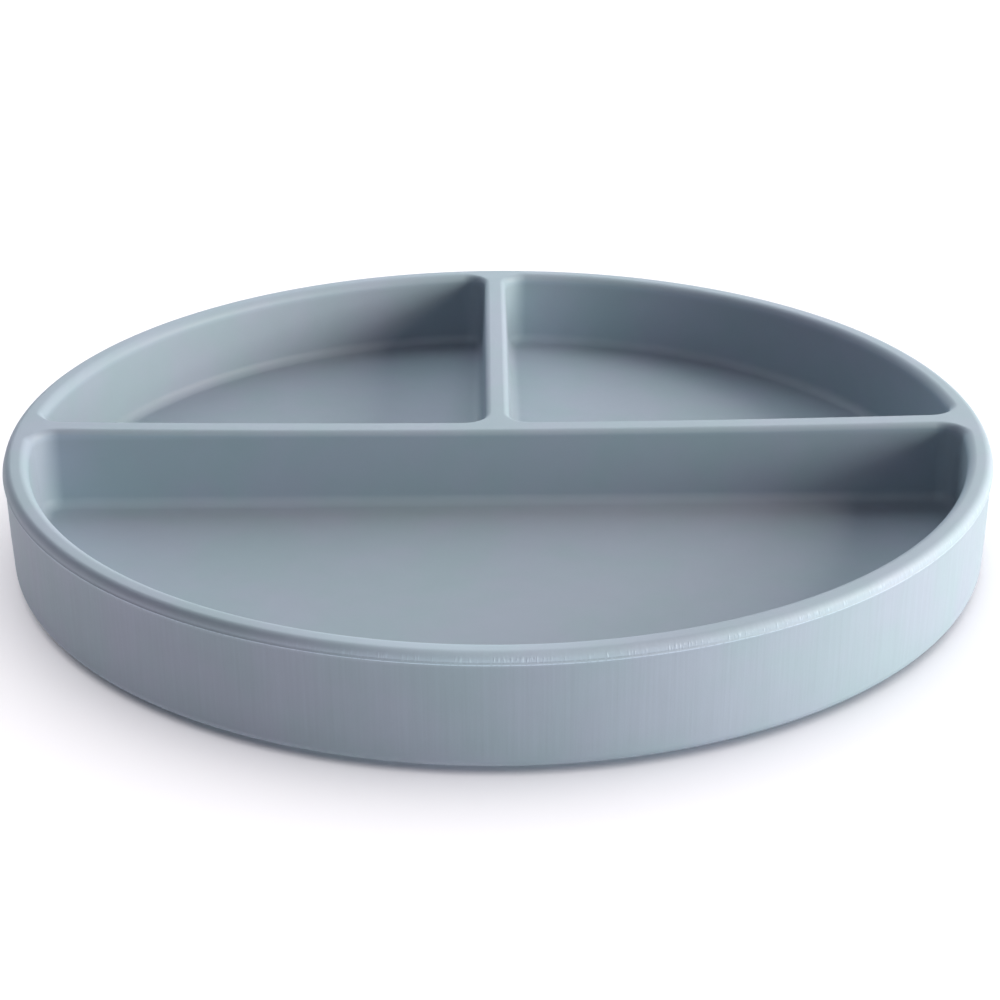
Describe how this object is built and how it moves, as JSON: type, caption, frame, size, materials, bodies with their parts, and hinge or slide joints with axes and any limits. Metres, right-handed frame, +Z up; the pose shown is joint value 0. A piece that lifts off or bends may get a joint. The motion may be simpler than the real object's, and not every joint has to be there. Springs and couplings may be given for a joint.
{
  "type": "divided suction plate",
  "caption": "Shallow round silicone plate divided into wells by raised walls, held to a table by a suction lip under its floor that a pull tab releases.",
  "frame": {"origin": "centre of the plate's footprint, on the plane that the sealing lip stands on", "axes": "+Z up, out of the wells; -Y towards the front, the side of the large half-moon well; +X to the right seen from the front"},
  "size_m": [0.19, 0.19, 0.0225],
  "materials": {
    "tray_silicone": "matte slate-blue silicone",
    "base_silicone": "satin slate-blue silicone, glossier on the sealing faces"
  },
  "bodies": {
    "plate": {"tray": "tray_silicone", "suction_hub": "base_silicone"},
    "sealing_lip": {"suction_skirt": "base_silicone", "suction_lip": "base_silicone"},
    "pull_tab": {"release_tab": "base_silicone"}
  },
  "joints": [
    {"name": "suction_press", "type": "slide", "parent": "plate", "child": "sealing_lip", "axis": [0, 0, 1], "range_m": [0, 0.0012], "stiffness_N_per_m": 4000, "springref_m": -0.0008, "deforming": ["suction_skirt"]},
    {"name": "release_tab_bend", "type": "hinge", "parent": "sealing_lip", "child": "pull_tab", "pos_m": [0, 0.064, 0.0011], "axis": [1, 0, 0], "range_deg": [-75, 1.5], "stiffness_Nm_per_rad": 0.05}
  ]
}
